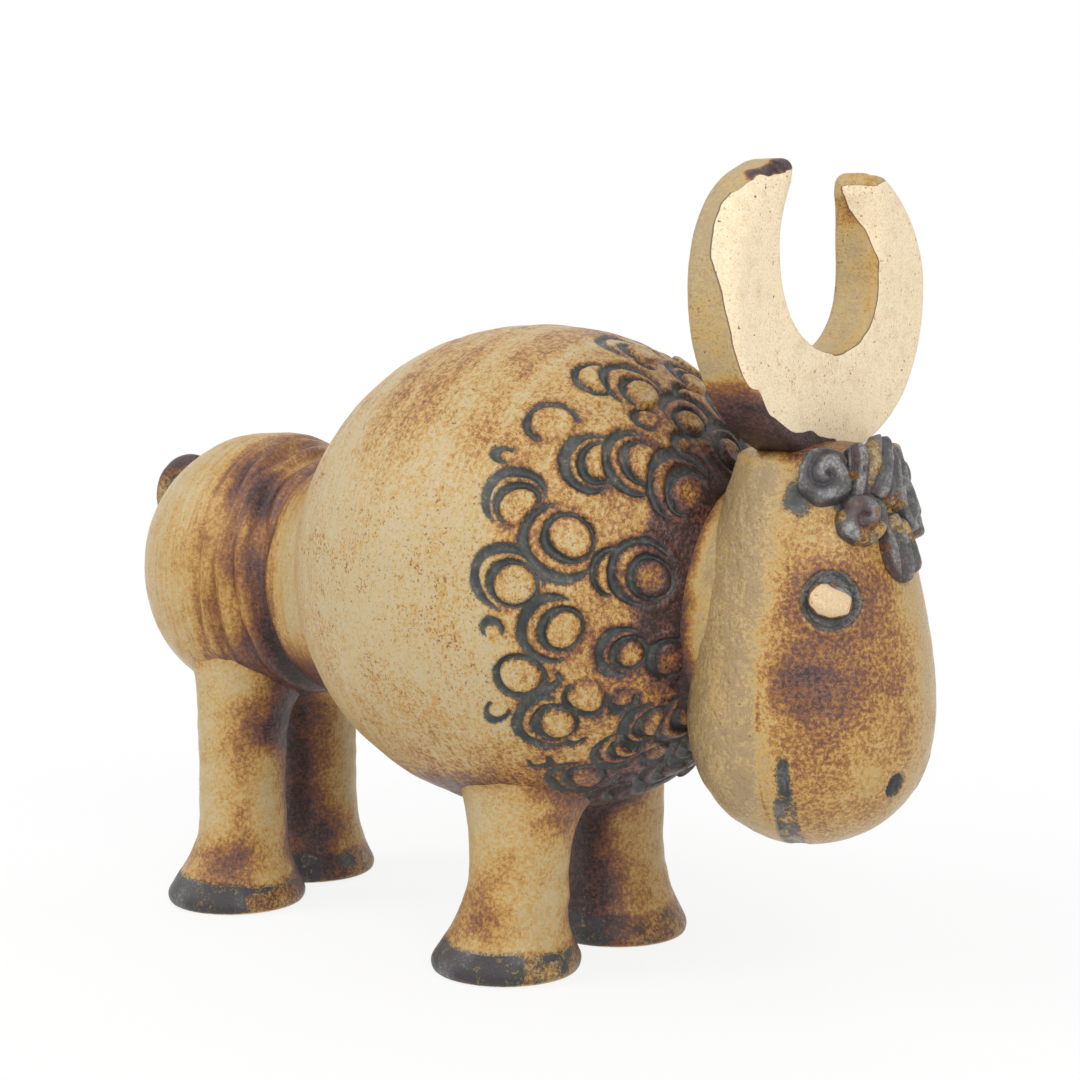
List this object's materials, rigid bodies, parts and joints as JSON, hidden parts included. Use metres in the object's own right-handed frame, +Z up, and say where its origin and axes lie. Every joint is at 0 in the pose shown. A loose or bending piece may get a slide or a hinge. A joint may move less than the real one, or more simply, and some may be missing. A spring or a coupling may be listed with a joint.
{
  "type": "stoneware buffalo figurine",
  "caption": "Standing glazed stoneware buffalo with a round thrown barrel, smaller rump, egg-shaped head, upright crescent horns, rolled forelock and flared feet.",
  "frame": {"origin": "on the ground plane, midway between the tail and the muzzle and midway across the barrel", "axes": "+X forward to the muzzle, +Y to the animal's left, +Z up"},
  "size_m": [0.2026, 0.1, 0.1603],
  "materials": {
    "barrel_glaze": "satin tan glaze with rust specks, incised and slip-filled curls in front",
    "rump_glaze": "satin golden ochre glaze breaking purple-brown in the creases",
    "neck_glaze": "matte tan glaze",
    "head_glaze": "satin speckled ochre glaze with a purple-brown face",
    "horn_clay": "bare speckled stoneware in front, tan glaze on the sides",
    "leg_glaze": "satin tan glaze with ochre mottling and slate hooves",
    "tail_glaze": "satin slate and brown glaze",
    "eye_clay": "bare stoneware",
    "forelock_glaze": "satin slate glaze worn pale on the edges"
  },
  "bodies": {
    "root": {"barrel": "barrel_glaze", "rump": "rump_glaze", "neck": "neck_glaze", "head": "head_glaze", "horns": "horn_clay", "front_leg_right": "leg_glaze", "front_leg_left": "leg_glaze", "hind_leg_right": "leg_glaze", "hind_leg_left": "leg_glaze", "tail": "tail_glaze", "eye_right": "eye_clay", "eye_left": "eye_clay", "curl_right_outer": "forelock_glaze", "curl_right_inner": "forelock_glaze", "curl_crown": "forelock_glaze", "curl_middle": "forelock_glaze", "curl_brow": "forelock_glaze", "curl_left_inner": "forelock_glaze", "curl_left_outer": "forelock_glaze", "curl_strand": "forelock_glaze"}
  },
  "joints": []
}
